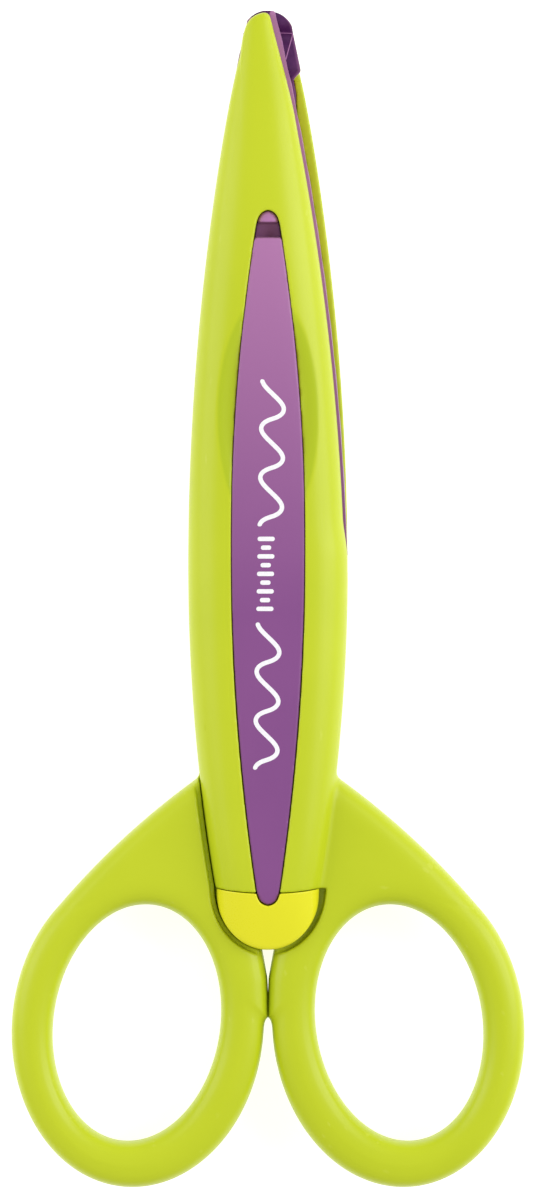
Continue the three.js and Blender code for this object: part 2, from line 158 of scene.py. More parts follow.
# Arm and shell of one half
arm = {
    "tipY": 85.6,
    "tipRadius": 3.65,
    "tipInset": 0.3,
    "sternY": -41.9,
    "shellEndY": -33.6,
    "shellEndBow": 0.6,
    "shellEndHalfWidth": 7.154,
    "widestY": 10.0,
    "halfWidth": 10.85,
    "noseRadius": 356.0,
    "sternRadius": 257.0,
    "heelY": 11.0,
    "edgeLean": 0.0245,
    "landZ": 7.4,
    "crownZ": 8.1,
    "crownNoseY": 20.0,
    "crownNoseRadius": 430.0,
    "crownSternY": -24.0,
    "crownSternRadius": 60.0,
    "shoulderZ": 1.8,
    "archPower": 2.5,
    "wall": 1.6,
    "sideWall": 1.15,
    "faceGap": 0.15,
    "rimZ": 1.2,
    "capStartY": 76.2,
    "capBottomZ": 1.65,
    "bladeTopZ": 2.3,
    "bladeTipTopZ": 1.5,
    "bladeThinsY": 67.0,
    "bladeThinY": 74.0,
    "bladeEndRadius": 12.0,
    "wallEndX": 3.85,
    "scoopY": 30.4,
    "scoopHalfLength": 17.0,
    "scoopHalfWidth": 7.2,
    "scoopDepth": 0.85,
    "scoopFloor": 0.66,
    "plateTopZ": 2.4,
    "stripStart": 0.45,
    "stripEnd": 0.9,
    "stripWidensY": 70.0,
    "stripFullY": 85.0,
    "stripRun": 6.0,
    "wallShy": 0.15,
}
spine = {
    "halfWidth": 4.97,
    "widestY": 13.0,
    "noseRadius": 274.0,
    "tailRadius": 318.0,
    "topY": 54.4,
    "tailY": -35.8,
    "tailRound": 1.45,
    "thickness": 1.6,
    "below": 0.12,
    "clearance": 0.15,
    "slotTopY": 58.3,
    "slotRound": 1.7,
    "windowY": 12.4,
    "pegY": (24.0, 46.0),
    "pegRadius": 1.0,
    "pegBottomZ": 3.2,
    "tabY": -31.1,
    "tabHalf": (1.2, 0.45),
    "tabZ": (2.9, 5.8),
}
bow = {
    "centreX": 17.73,
    "centreY": -52.6,
    "radiusX": 17.15,
    "radiusY": 21.87,
    "tilt": 4.8,
    "holeX": 17.85,
    "holeY": -52.09,
    "holeRadiusX": 11.32,
    "holeRadiusY": 16.19,
    "holeTilt": 8.6,
    "halfThickness": 3.9,
    "edgeRound": 2.6,
    "clearance": 0.7,
    "ledge": 3.1,
    "shoulderX": -51.72,
    "shoulderY": -104.28,
    "shoulderRadius": 105.24,
    "webEndY": -37.9,
    "innerBottom": (0.2, -46.0),
    "innerTop": (0.9, -41.5),
    "cheekEndX": 14.0,
    "cheekY": (-51.0, -30.0),
}


# The surfaces of a half, as fields in a Geometry Nodes tree: negative inside, in millimetres.
class HalfShape:
    def __init__(self, name, sizes):
        self.tree = tree = bpy.data.node_groups.new(name, "GeometryNodeTree")
        tree.interface.new_socket("Geometry", in_out="OUTPUT", socket_type="NodeSocketGeometry")
        self.inputs = {**arm, **sizes}
        for key in self.inputs:
            tree.interface.new_socket(key, in_out="INPUT", socket_type="NodeSocketFloat")
        group = tree.nodes.new("NodeGroupInput")
        self.size = {key: Value(tree, group.outputs[key]) for key in self.inputs}
        place = addNode(tree, "GeometryNodeInputPosition")
        split = addNode(tree, "ShaderNodeSeparateXYZ", None, {0: place}).socket.node
        self.x, self.y, self.z = [Value(tree, output) for output in split.outputs]
        self.side = self.sideAt(self.y)
        self.left, self.right = -self.side, self.edgeAt(self.y) - self.stripAt(self.y)
        self.bladeTop = self.bladeTopAt(self.y)
        s, y = self.size, self.y
        nose = most(y - s["crownNoseY"], 0.0)
        stern = most(s["crownSternY"] - y, 0.0)
        self.crown = s["crownZ"] - sagging(nose, s["crownNoseRadius"]) - sagging(stern, s["crownSternRadius"])
        self.ridge = least(self.crown, s["landZ"])
        share = self.x / s["shellEndHalfWidth"]
        self.endY = s["shellEndY"] - s["shellEndBow"] * most(1.0 - share * share, 0.0)

    def sideAt(self, y):
        s = self.size
        nose = most(y - s["widestY"], 0.0)
        stern = most(s["widestY"] - most(y, s["shellEndY"]), 0.0)
        return s["halfWidth"] - sagging(nose, s["noseRadius"]) - sagging(stern, s["sternRadius"])

    def edgeAt(self, y):
        return self.sideAt(y) - self.size["edgeLean"] * most(y - self.size["heelY"], 0.0)

    def stripAt(self, y):
        s = self.size
        wider = ramp(y, s["stripWidensY"], s["stripFullY"])
        width = wider * (s["stripEnd"] - s["stripStart"]) + s["stripStart"]
        return width * ramp(y, s["heelY"], s["heelY"] + s["stripRun"])

    # How far out the shell's inner wall stands on its left side; it thickens as the cutting edge leans in.
    def wallAt(self, y):
        s = self.size
        return least(self.sideAt(y) - s["sideWall"], most(self.edgeAt(y) - s["wallShy"], s["wallEndX"]))

    def bladeTopAt(self, y):
        s = self.size
        thinner = ramp(y, s["bladeThinsY"], s["bladeThinY"])
        return s["bladeTopZ"] + (s["bladeTipTopZ"] - s["bladeTopZ"]) * thinner

    # Distance to the arch, inset at its sides and its crown; lift sinks the surface by that much.
    def arch(self, sideInset=0.0, crownInset=0.0, lift=0.0):
        s = self.size
        left, right = self.left + sideInset, self.right - sideInset
        half = (right - left) * 0.5
        rise = self.crown - crownInset - s["shoulderZ"]
        across = abs(self.x - (left + right) * 0.5) / half
        up = most(self.z + lift - s["shoulderZ"], 0.0) / rise
        power = arm["archPower"]
        total = most(across ** power + up ** power, 0.001) ** (1 / power)
        slopeX = (across / total) ** (power - 1) / half
        slopeZ = (up / total) ** (power - 1) / rise
        return (total - 1.0) / length(slopeX, slopeZ)

    # Distance in plan to the arm's whole outline, with its half-ellipse stern.
    def armPlan(self):
        sternLength = self.size["shellEndY"] - self.size["sternY"]
        behind = most(self.size["shellEndY"] - self.y, 0.0) / sternLength
        across = abs(self.x) / self.side
        total = most(length(across, behind), 0.001)
        slope = length(across / total / self.side, behind / total / sternLength)
        return (total - 1.0) / slope

    def tip(self, inset):
        s = self.size
        radius = s["tipRadius"]
        reach = most(radius * radius - self.x * self.x, 0.05).math("SQRT")
        return (self.y + inset - s["tipY"] + radius - reach) * reach / radius

    def scoop(self):
        s = self.size
        reach = length(self.x / s["scoopHalfWidth"], (self.y - s["scoopY"]) / s["scoopHalfLength"])
        return s["scoopDepth"] * (1.0 - ramp(reach, s["scoopFloor"], 1.0))

    def spineSide(self):
        nose = most(self.y - spine["widestY"], 0.0)
        tail = most(spine["widestY"] - self.y, 0.0)
        return spine["halfWidth"] - sagging(nose, spine["noseRadius"]) - sagging(tail, spine["tailRadius"])

    def spinePlan(self):  # in plan, with its round tail; its top end is cut later
        return both(abs(self.x) - self.spineSide(), spine["tailY"] - self.y, spine["tailRound"] * 1.1)

    def spineFloor(self):
        return self.ridge - spine["below"] - spine["thickness"]

    def slot(self, floor, gap):
        plan = both(abs(self.x) - self.spineSide() - gap, self.y - spine["slotTopY"], spine["slotRound"])
        return most(plan, floor - self.z)

    def rod(self, radius, z0, z1, y=0.0, rounding=0.0):
        around = length(self.x, self.y - y) - radius
        ends = most(z0 - self.z, self.z - z1)
        return both(around, ends, rounding) if rounding else most(around, ends)

    def box(self, x0, x1, y0, y1, z0, z1):
        alongX = most(x0 - self.x, self.x - x1)
        alongY = most(y0 - self.y, self.y - y1)
        return most(alongX, alongY, z0 - self.z, self.z - z1)

    def ellipse(self, x, y, radiusX, radiusY, tilt):
        turn = math.radians(tilt)
        dx, dy = self.x - x, self.y - y
        along = dy * math.cos(turn) - dx * math.sin(turn)
        across = dx * math.cos(turn) + dy * math.sin(turn)
        reach = most(length(across / radiusX, along / radiusY), 0.001)
        slope = length(across / radiusX ** 2, along / radiusY ** 2)
        return reach * (reach - 1.0) / most(slope, 0.0001)

    def line(self, x0, y0, x1, y1):  # outside is to the left of the way from the first point to the second
        run = math.hypot(x1 - x0, y1 - y0)
        return (self.y - y0) * ((x1 - x0) / run) - (self.x - x0) * ((y1 - y0) / run)

    # The field becomes a volume, and the volume a mesh in millimetres, of which a share of the faces is kept.
    def mesh(self, field, low, high, material, keep=1.0):
        tree = self.tree
        sockets = {"Density": 0.5 - field, "Min": low, "Max": high}
        for axis, start, end in zip("XYZ", low, high):
            sockets["Resolution " + axis] = (end - start) / self.size["voxel"]
        sockets = {"Volume": addNode(tree, "GeometryNodeVolumeCube", None, sockets), "Threshold": 0.5}
        return self.finish(addNode(tree, "GeometryNodeVolumeToMesh", None, sockets), material, keep)

    def finish(self, shape, material, keep=1.0):
        shape = addNode(self.tree, "GeometryNodeRealizeInstances", None, {0: shape})
        shape = addNode(self.tree, "GeometryNodeSetMaterial", None, {"Geometry": shape, "Material": material})
        self.tree.links.new(shape.socket, self.tree.nodes.new("NodeGroupOutput").inputs[0])
        return runTree(self.tree, self.inputs, keep)


# Runs a tree on an empty mesh with its inputs set, and gives the result as a plain mesh.
def runTree(tree, inputs, keep=1.0):
    holder = bpy.data.objects.new("holder", bpy.data.meshes.new("holder"))
    bpy.context.scene.collection.objects.link(holder)
    nodes = holder.modifiers.new("shape", "NODES")
    nodes.node_group = tree
    for item in tree.interface.items_tree:
        if item.in_out == "INPUT":
            nodes[item.identifier] = inputs[item.name]
    if keep < 1:
        holder.modifiers.new("thin", "DECIMATE").ratio = keep
    graph = bpy.context.evaluated_depsgraph_get()
    mesh = bpy.data.meshes.new_from_object(holder.evaluated_get(graph))
    bpy.data.objects.remove(holder)
    print("   ", tree.name, len(mesh.polygons), "faces")
    return mesh


# A piece is a copy of the mesh, put in place, that rides on a body and stands for CAD nodes.
def addPiece(name, mesh, place, body, slotName, *stoodFor, sharp=None):
    mesh = mesh.copy()
    mesh.transform(place)
    mesh.shade_smooth()
    if sharp:
        mesh.set_sharp_from_angle(angle=math.radians(sharp))
    mesh.name = name
    piece = bpy.data.objects.new(name, mesh)
    bpy.context.scene.collection.objects.link(piece)
    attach(piece, body)
    if stoodFor:
        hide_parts(*stoodFor)
    return piece


# Materials: moulded plastics, white ink and steel, with patterns on Object coordinates in metres
def newMaterial(name, settings):
    material = bpy.data.materials.new(name)
    material.use_nodes = True
    tree = material.node_tree
    shader = tree.nodes["Principled BSDF"]
    for socket, value in settings.items():
        shader.inputs[socket].default_value = value
    return material, tree, shader


def noise(tree, place, scale, detail=2.0, stretch=None):
    if stretch:
        place = addNode(tree, "ShaderNodeMapping", None, {"Vector": place, "Scale": stretch})
    return addNode(tree, "ShaderNodeTexNoise", None, {"Vector": place, "Scale": scale, "Detail": detail})


def mixed(tree, share, first, second):
    sockets = {0: share, 6: first, 7: second}
    return addNode(tree, "ShaderNodeMix", {"data_type": "RGBA"}, sockets, output=2)


def bump(tree, height, depth, strength):
    return addNode(tree, "ShaderNodeBump", None, {"Height": height, "Distance": depth, "Strength": strength})


plastics = {
    "limePlastic": {
        "colour": (0.535, 0.618, 0.016),
        "deepColour": (0.510, 0.596, 0.013),
        "rubColour": (0.600, 0.670, 0.070),
        # painted shade: a darker lime for the thumb scoops
        "scoopShadeColour": (0.425, 0.525, 0.011),
        "roughness": 0.34,
        "grain": 0.10,
    },
    "purplePlastic": {
        "colour": (0.235, 0.074, 0.250),
        "deepColour": (0.218, 0.067, 0.236),
        "rubColour": (0.380, 0.170, 0.390),
        # painted light: a paler purple towards the tip end
        "tipLitColour": (0.425, 0.178, 0.380),
        "tipLightFrom": -0.002,
        "tipLightTo": 0.052,
        "roughness": 0.36,
        "grain": 0.08,
    },
    "yellowPlastic": {
        "colour": (0.800, 0.765, 0.018),
        "deepColour": (0.770, 0.738, 0.015),
        "rubColour": (0.870, 0.830, 0.060),
        "roughness": 0.28,
        "grain": 0.06,
    },
}


# Slow colour drift from the melt, a fine moulded grain, hairline rubs and paler worn edges.
def mouldedPlastic(name, look):
    material, tree, shader = newMaterial(name, {"IOR": 1.49, "Specular IOR Level": 0.32})
    place = addNode(tree, "ShaderNodeTexCoord", output=3)
    drift = noise(tree, place, 45.0, 3.0)
    speck = noise(tree, place, 5200.0, 2.0)
    rubs = noise(tree, place, 260.0, 2.0, (9.0, 0.6, 9.0))
    edge = ramp(addNode(tree, "ShaderNodeNewGeometry", output="Pointiness"), 0.57, 0.67)
    rubbed = ramp(rubs, 0.58, 0.78) * 0.35
    colour = mixed(tree, ramp(drift, 0.35, 0.65), (*look["colour"], 1), (*look["deepColour"], 1))
    if "scoopShadeColour" in look:  # painted shade: the thumb scoops are coloured darker, as shade in the hollows
        centre = toFront @ Vector((0, arm["scoopY"], 0))
        split = addNode(tree, "ShaderNodeSeparateXYZ", None, {0: place}).socket.node
        x, y, _ = [Value(tree, output) for output in split.outputs]
        across = (x - centre.x) / (arm["scoopHalfWidth"] * 0.001)
        along = (y - centre.y) / (arm["scoopHalfLength"] * 0.001)
        scoopShadeMask = 1.0 - ramp(length(across, along), 0.91, 0.98)
        colour = mixed(tree, scoopShadeMask, colour, (*look["scoopShadeColour"], 1))
    if "tipLitColour" in look:  # painted light: the purple fades from deep at the bow end to pale at the tip end, as light falling from the tip's side
        toTip = addNode(tree, "ShaderNodeSeparateXYZ", None, {0: place}, output=1)
        share = clamped((toTip - look["tipLightFrom"]) / (look["tipLightTo"] - look["tipLightFrom"]))
        colour = mixed(tree, share, colour, (*look["tipLitColour"], 1))
    colour = mixed(tree, edge * 0.4, colour, (*look["rubColour"], 1))
    rough = drift * 0.08 + rubbed * 0.22 + speck * 0.05 + (look["roughness"] - 0.06)
    height = speck * 0.7 + noise(tree, place, 1500.0, 1.0) * 0.3
    tree.links.new(colour.socket, shader.inputs["Base Color"])
    tree.links.new(rough.socket, shader.inputs["Roughness"])
    tree.links.new(bump(tree, height, 0.00004, look["grain"]).socket, shader.inputs["Normal"])
    return material


# Blade plastic: as the spines, but with painted shade, a dark purple, where the wavy faces run on each other
# and on the tip's end rim.
def bladePlastic(name, look):
    material = mouldedPlastic(name, look)
    tree = material.node_tree
    shader = tree.nodes["Principled BSDF"]
    plain = Value(tree, shader.inputs["Base Color"].links[0].from_socket)
    # painted shade: where runningFace is marked, the colour turns dark purple
    shadedFace = addNode(tree, "ShaderNodeAttribute", {"attribute_name": "runningFace"}, output="Fac")
    place = addNode(tree, "ShaderNodeTexCoord", output=3)
    streak = ramp(noise(tree, place, 900.0, 2.0), 0.3, 0.7)
    paintedShadeColour = mixed(tree, streak, (0.072, 0.012, 0.088, 1), (0.095, 0.020, 0.112, 1))
    tree.links.new(mixed(tree, shadedFace, plain, paintedShadeColour).socket, shader.inputs["Base Color"])
    return material


def printInk(name):
    material, tree, shader = newMaterial(name, {"IOR": 1.5})
    place = addNode(tree, "ShaderNodeTexCoord", output=3)
    mottle = noise(tree, place, 2600.0, 3.0)
    colour = mixed(tree, ramp(mottle, 0.3, 0.7), (0.94, 0.93, 0.95, 1), (0.86, 0.84, 0.88, 1))
    tree.links.new(colour.socket, shader.inputs["Base Color"])
    tree.links.new((mottle * 0.2 + 0.35).socket, shader.inputs["Roughness"])
    tree.links.new(bump(tree, mottle, 0.00001, 0.3).socket, shader.inputs["Normal"])
    return material


# Turned or drawn steel: fine marks round the axis, and duller patches.
def turnedSteel(name, colour, roughness, marks):
    material, tree, shader = newMaterial(name, {"Metallic": 1.0})
    place = addNode(tree, "ShaderNodeTexCoord", output=3)
    lines = noise(tree, place, 1800.0, 3.0, marks)
    patches = noise(tree, place, 420.0, 3.0)
    shade = mixed(tree, ramp(patches, 0.4, 0.7), (*colour, 1), tuple(part * 0.82 for part in colour) + (1,))
    tree.links.new(shade.socket, shader.inputs["Base Color"])
    tree.links.new((lines * 0.18 + patches * 0.12 + roughness).socket, shader.inputs["Roughness"])
    tree.links.new(bump(tree, lines, 0.00002, 0.25).socket, shader.inputs["Normal"])
    return material


lime = mouldedPlastic("limePlastic", plastics["limePlastic"])
purple = mouldedPlastic("purplePlastic", plastics["purplePlastic"])
yellow = mouldedPlastic("yellowPlastic", plastics["yellowPlastic"])
bladePurple = bladePlastic("bladePlastic", plastics["purplePlastic"])
ink = printInk("whiteInk")
zinc = turnedSteel("zincSteel", (0.62, 0.62, 0.60), 0.22, (1.0, 1.0, 6.0))
springSteel = turnedSteel("springSteel", (0.50, 0.50, 0.51), 0.2, (1.0, 1.0, 3.0))
nylon = mouldedPlastic("nylon", {
    "colour": (0.80, 0.78, 0.70),
    "deepColour": (0.74, 0.72, 0.63),
    "rubColour": (0.86, 0.85, 0.80),
    "roughness": 0.5,
    "grain": 0.1,
})
print("materials made")


# Handle moulding
def bowField(h):
    outer = h.ellipse(bow["centreX"], bow["centreY"], bow["radiusX"], bow["radiusY"], bow["tilt"])
    hole = h.ellipse(bow["holeX"], bow["holeY"], bow["holeRadiusX"], bow["holeRadiusY"], bow["holeTilt"])
    shoulder = length(h.x - bow["shoulderX"], h.y - bow["shoulderY"]) - bow["shoulderRadius"]
    inner = h.line(*bow["innerBottom"], *bow["innerTop"])
    web = most(both(shoulder, bow["webEndY"] - h.y, 0.5), inner)
    cheekStart, cheekEnd = bow["cheekY"]
    cheek = most(inner, cheekStart - h.y, h.y - cheekEnd)
    cheek = most(cheek, bow["innerBottom"][0] - h.x, h.x - bow["cheekEndX"])
    plan = least(web, joined(cheek, outer, 1.5))
    plan = both(plan, -hole, 0.3)
    return both(plan, abs(h.z) - bow["halfThickness"], bow["edgeRound"])


# What is cut or left standing inside the arm, for the blade, the spine, the pivot stack and the button
inside = {
    "bladeRoom": 0.15,
    "capRoom": 0.2,
    "hollowStartY": 6.0,
    "cutSideStartY": 9.4,
    "cutSideWidth": 1.6,
    "rimStartY": 8.0,
    "pocketTopZ": 4.0,
    "pocketInset": 0.5,
    "pocketY": (-30.5, 1.0),
    "hubRadius": 6.2,
    "ribHalf": 0.8,
    "crossRib": (-16.9, 0.7),
    "tailRib": (-28.2, 3.2),
    "slotNarrowing": 0.09,
    "slotNarrowsY": (-8.0, 14.0),
    "screwBore": 2.12,
    "washerBore": 4.75,
    "washerTopZ": 0.3,
    "headBore": 4.2,
    "headBottomZ": 4.2,
    "postY": -38.4,
    "postBore": 1.75,
    "buttonScrewBore": 2.2,
    "buttonScrewTopZ": 1.3,
    "tabRoom": (1.5, 0.8),
    "tabBottomZ": 2.0,
}
underAll = -9.0  # a height below every part of a half, and one above
overAll = 19.0


def handleField(h):
    s, x, y, z = h.size, h.x, h.y, h.z
    shell = both(h.arch(lift=h.scoop()), z - s["landZ"], 1.2)
    shell = both(shell, h.tip(s["tipInset"]), 0.7)
    shell = both(shell, most(s["faceGap"] - z, h.endY - y), 0.12)
    plan = h.armPlan()
    loop = bowField(h)
    ledge = most(loop, 0.12 - plan, s["faceGap"] - bow["ledge"] - z)
    ring = least(without(loop, most(plan - bow["clearance"], z - s["faceGap"]), 0.3), ledge)
    body = joined(shell, ring, 0.6)
    body = least(body, most(plan, s["faceGap"] - z, z - s["plateTopZ"], y - s["shellEndY"] - 1.0))
    well = most(plan - bow["clearance"], s["plateTopZ"] - z, y - h.endY)
    body = without(body, well, 0.2)

    outsideBoss = s["bladeEndRadius"] - 0.25 - length(x, y)
    overBlade = z - h.bladeTop - inside["bladeRoom"]
    roof = least(h.arch(s["sideWall"], s["wall"]), overBlade)
    hollow = most(-h.wallAt(y) - x, x - h.right + s["sideWall"], roof)
    hollow = most(hollow, y - s["capStartY"] - inside["capRoom"], inside["hollowStartY"] - y)
    cutSide = h.right - s["sideWall"] - inside["cutSideWidth"] - x
    cutSide = most(cutSide, overBlade, inside["cutSideStartY"] - y)
    rim = most(z - s["rimZ"], inside["rimStartY"] - y)
    nose = most(z - s["capBottomZ"], s["capStartY"] - y)
    openings = least(most(least(hollow, rim), outsideBoss), cutSide, nose)
    body = without(body, openings, 0.2)

    inset = s["sideWall"] + inside["pocketInset"]
    pocketStart, pocketEnd = inside["pocketY"]
    pocket = most(h.left + inset - x, x - h.right + inset, z - inside["pocketTopZ"])
    pocket = most(pocket, y - pocketEnd, pocketStart - y)
    (crossY, crossHalf), (tailY, tailHalf) = inside["crossRib"], inside["tailRib"]
    ribs = least(h.rod(inside["hubRadius"], underAll, overAll), abs(x) - inside["ribHalf"])
    ribs = least(ribs, abs(y - crossY) - crossHalf, most(abs(x) - tailHalf, y - tailY))
    body = without(body, without(pocket, ribs, 0.3), 0.2)

    gap = spine["clearance"] - ramp(y, *inside["slotNarrowsY"]) * inside["slotNarrowing"]
    window = most(h.slot(underAll, gap), spine["windowY"] - y)
    slot = least(h.slot(h.spineFloor() - spine["clearance"], gap), window)
    body = without(body, slot, 0.08)
    tabHalf, tabReach = inside["tabRoom"]
    tabStart, tabEnd = spine["tabY"] - tabReach, spine["tabY"] + tabReach
    bores = least(
        h.rod(inside["screwBore"], underAll, overAll),
        h.rod(inside["washerBore"], underAll, inside["washerTopZ"]),
        h.rod(inside["headBore"], inside["headBottomZ"], overAll),
        h.rod(inside["postBore"], underAll, overAll, inside["postY"]),
        h.rod(inside["buttonScrewBore"], underAll, inside["buttonScrewTopZ"], inside["postY"]),
        h.box(-tabHalf, tabHalf, tabStart, tabEnd, inside["tabBottomZ"], overAll),
    )
    return without(body, bores, 0.12)


def makeHandles():
    voxel, keep = ((0.21, 0.4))
    h = HalfShape("handle", {"voxel": voxel})
    mesh = h.mesh(handleField(h), (-11.4, -75.2, -4.5), (35.7, 86.2, 8.2), lime, keep)
    for side, place in halves.items():
        addPiece(f"{side}_handle_moulding", mesh, place, f"{side}_half", "lime_plastic", f"{side}_handle")


makeHandles()
print("handles made")


# Pattern spine
def spineField(h):
    s, y, z = h.size, h.y, h.z
    plan = both(h.spinePlan(), y - spine["topY"], 0.35)
    top = both(h.arch() + spine["below"], z - s["landZ"] + spine["below"], 1.2)
    body = both(plan, top, 0.16)
    body = both(body, h.spineFloor() - z, 0.15)
    for pegY in spine["pegY"]:
        body = joined(body, h.rod(spine["pegRadius"], spine["pegBottomZ"], 6.2, pegY, 0.25), 0.3)
    halfX, halfY = spine["tabHalf"]
    tab = h.box(-halfX, halfX, spine["tabY"] - halfY, spine["tabY"] + halfY, *spine["tabZ"])
    return joined(body, tab, 0.2)


def makeSpines():
    h = HalfShape("spine", {"voxel": 0.15})
    mesh = h.mesh(spineField(h), (-5.6, -36.6, 2.4), (5.6, 55.2, 7.9), purple)
    for side, place in halves.items():
        name = f"{side}_pattern_spine"
        addPiece(f"{name}_moulding", mesh, place, f"{side}_spine", "purple_plastic", name)
    return mesh


spineMesh = makeSpines()
print("spines made")


# Release button
button = {
    "bottomZ": 3.3,
    "gap": 0.03,
    "edgeRound": 0.45,
    "roof": 1.3,
    "rimWidth": 1.35,
    "hollowEndY": -36.1,
    "postRadius": 1.4,
    "postBottomZ": 1.32,
    "screwHole": 0.75,
    "travel": 0.7,
}


def buttonField(h):
    y, z = h.y, h.z
    plan = h.armPlan()
    cap = both(h.arch(), plan, button["edgeRound"])
    cap = both(cap, most(button["bottomZ"] - z, y - h.endY + button["gap"]), 0.08)
    crown = arm["crownZ"] - sagging(inside["postY"] - arm["crownSternY"], arm["crownSternRadius"])
    ceiling = crown - button["roof"]
    cap = without(cap, most(plan + button["rimWidth"], z - ceiling, y - button["hollowEndY"]), 0.25)
    cap = least(cap, h.rod(button["postRadius"], button["postBottomZ"], ceiling + 0.4, inside["postY"]))
    notch = most(h.spinePlan() - spine["clearance"], h.spineFloor() - spine["clearance"] - z)
    cap = without(cap, notch, 0.15)
    return most(cap, -h.rod(button["screwHole"], 0.0, ceiling - 0.3, inside["postY"]))


def makeButtons():
    h = HalfShape("button", {"voxel": 0.1})
    mesh = h.mesh(buttonField(h), (-7.9, -42.6, 1.0), (7.9, -33.0, 8.0), yellow)
    for side, place in halves.items():
        name = f"{side}_release_button"
        addPiece(f"{name}_moulding", mesh, place, f"{side}_button", "yellow_plastic", name)


makeButtons()
print("buttons made")


# Wavy blade: rings round the pivot, each a closed section of six sides
blade = {
    "waveLength": 6.4,
    "waveHeight": 0.9,
    "waveSkew": 0.45,
    "waveStart": 16.0,
    "waveFull": 23.0,
    "gap": 0.09,
    "thickness": 1.3,
    "sideInset": 1.45,
    "ribWidth": 2.1,
    "lip": 0.13,
    "cutStartY": 9.8,
    "cutFullY": 11.6,
    "tipShy": {1.0: 0.28, -1.0: 0.0},
    "padStartY": 14.0,
    "padHalfWidth": 3.0,
    "padGap": 0.08,
    "nailStartY": 54.6,
    "nailDepth": 3.3,
    "nailSlope": 0.5,
    "domeStartY": 56.5,
    "domeBelow": 0.3,
}
bladeShape = {key: value for key, value in blade.items() if key != "tipShy"}


def runningFace(h, radius):  # height of the wavy face at a distance from the pivot
    s = h.size
    wave = radius * (2 * math.pi) / s["waveLength"]
    swing = (wave + s["waveSkew"] * wave.math("SINE")).math("SINE")
    return s["direction"] * s["waveHeight"] * ramp(radius, s["waveStart"], s["waveFull"]) * swing + s["gap"]


def bladeMesh(direction):
    rows, perSide = ((520, 14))
    sizes = {"direction": direction, "rows": rows, "perSide": perSide, "tipShy": blade["tipShy"][direction]}
    h = HalfShape(f"blade{direction}", {**bladeShape, **sizes})
    s, tree = h.size, h.tree
    grid = {"Size X": 6.0, "Size Y": 1.0, "Vertices X": s["perSide"] * 6 + 1, "Vertices Y": s["rows"]}
    sheet = addNode(tree, "GeometryNodeMeshGrid", None, grid)
    turn, along = h.x + 3.0, h.y + 0.5
    closer = along * (1.25 - along ** 4.0 * 0.25)  # rings crowd together towards the round tip
    radius = s["bladeEndRadius"] + closer * (s["tipY"] - 0.05 - s["bladeEndRadius"])
    beforeTip = s["tipY"] - s["tipRadius"] - radius
    tipReach = most(s["tipRadius"] ** 2.0 - most(-beforeTip, 0.0) ** 2.0, 0.04).math("SQRT")

    def insideTip(width):  # the round tip limits the width, and nothing does before it
        return least(width, tipReach + most(beforeTip, 0.0) * 9.0)

    def leftAt(y):
        wall = h.wallAt(y) - 0.05
        side = h.sideAt(y) - s["tipShy"] * (ramp(y, 79.0, 83.0) * 0.5 + 0.5)
        return -insideTip(wall + (side - wall) * ramp(y, s["capStartY"], s["capStartY"] + 1.4))

    def rightAt(y):
        low = h.sideAt(y) - s["sideInset"]
        return insideTip(low + (h.edgeAt(y) - low) * ramp(y, s["cutStartY"], s["cutFullY"]))

    def crossing(sideAt):  # where a ring meets a side, closed in on step by step
        y = radius
        for _ in range(5):
            reach = sideAt(y)
            y = most(radius * radius - reach * reach, 1.0).math("SQRT")
        return y

    face = runningFace(h, radius)
    top = h.bladeTopAt(radius)
    back = least(face + s["thickness"], top)
    left = leftAt(crossing(leftAt))
    edgeY = crossing(rightAt)
    edge = rightAt(edgeY)
    strip = least(h.stripAt(edgeY), (edge - left) * 0.3)
    ribLeft = most(edge - strip - s["ribWidth"], left + (edge - left) * 0.4)
    lip = s["lip"] * clamped(strip * 4.0)
    cut = edge - lip * face / top
    share = [clamped(turn - step) for step in range(6)]
    x = left + (cut - left) * share[0] - (cut - edge + lip) * share[1] - (edge - lip - ribLeft) * share[2]
    x = x - share[3] * 0.1 - (ribLeft - 0.1 - left) * share[4]
    z = face + (top + 0.01 - face) * share[1] - (top + 0.01 - back) * share[3] - (back - face) * share[5]
    y = most(radius * radius - x * x, 0.0).math("SQRT")
    place = addNode(tree, "ShaderNodeCombineXYZ", None, {0: x, 1: y, 2: z})
    # Painted shade: the running face, and the tip's end rim beside the strip, are marked to take a dark
    # purple.
    end = radius.math("GREATER_THAN", s["tipY"] - 0.9) * ramp(edge - strip - x, -0.1, 0.15)
    running = most(turn.math("LESS_THAN", 1.001), end)
    stored = {"Geometry": sheet, "Name": "runningFace", "Value": running}
    shape = addNode(tree, "GeometryNodeStoreNamedAttribute", {"domain": "POINT"}, stored)
    shape = addNode(tree, "GeometryNodeSetPosition", None, {"Geometry": shape, "Position": place})
    shape = addNode(tree, "GeometryNodeMergeByDistance", None, {"Geometry": shape, "Distance": 0.0005})
    mesh = h.finish(shape, bladePurple)
    shape = bmesh.new()
    shape.from_mesh(mesh)
    bmesh.ops.holes_fill(shape, edges=shape.edges, sides=0)
    bmesh.ops.recalc_face_normals(shape, faces=shape.faces)
    shape.to_mesh(mesh)
    shape.free()
    return mesh


# Two fine raised lines cross the running face at the tip
tipLines = (((-3.36, 82.65, 0), (-2.4, 79.0, 0)), ((-3.32, 82.7, 0.05), (-1.4, 82.75, 0.05)))


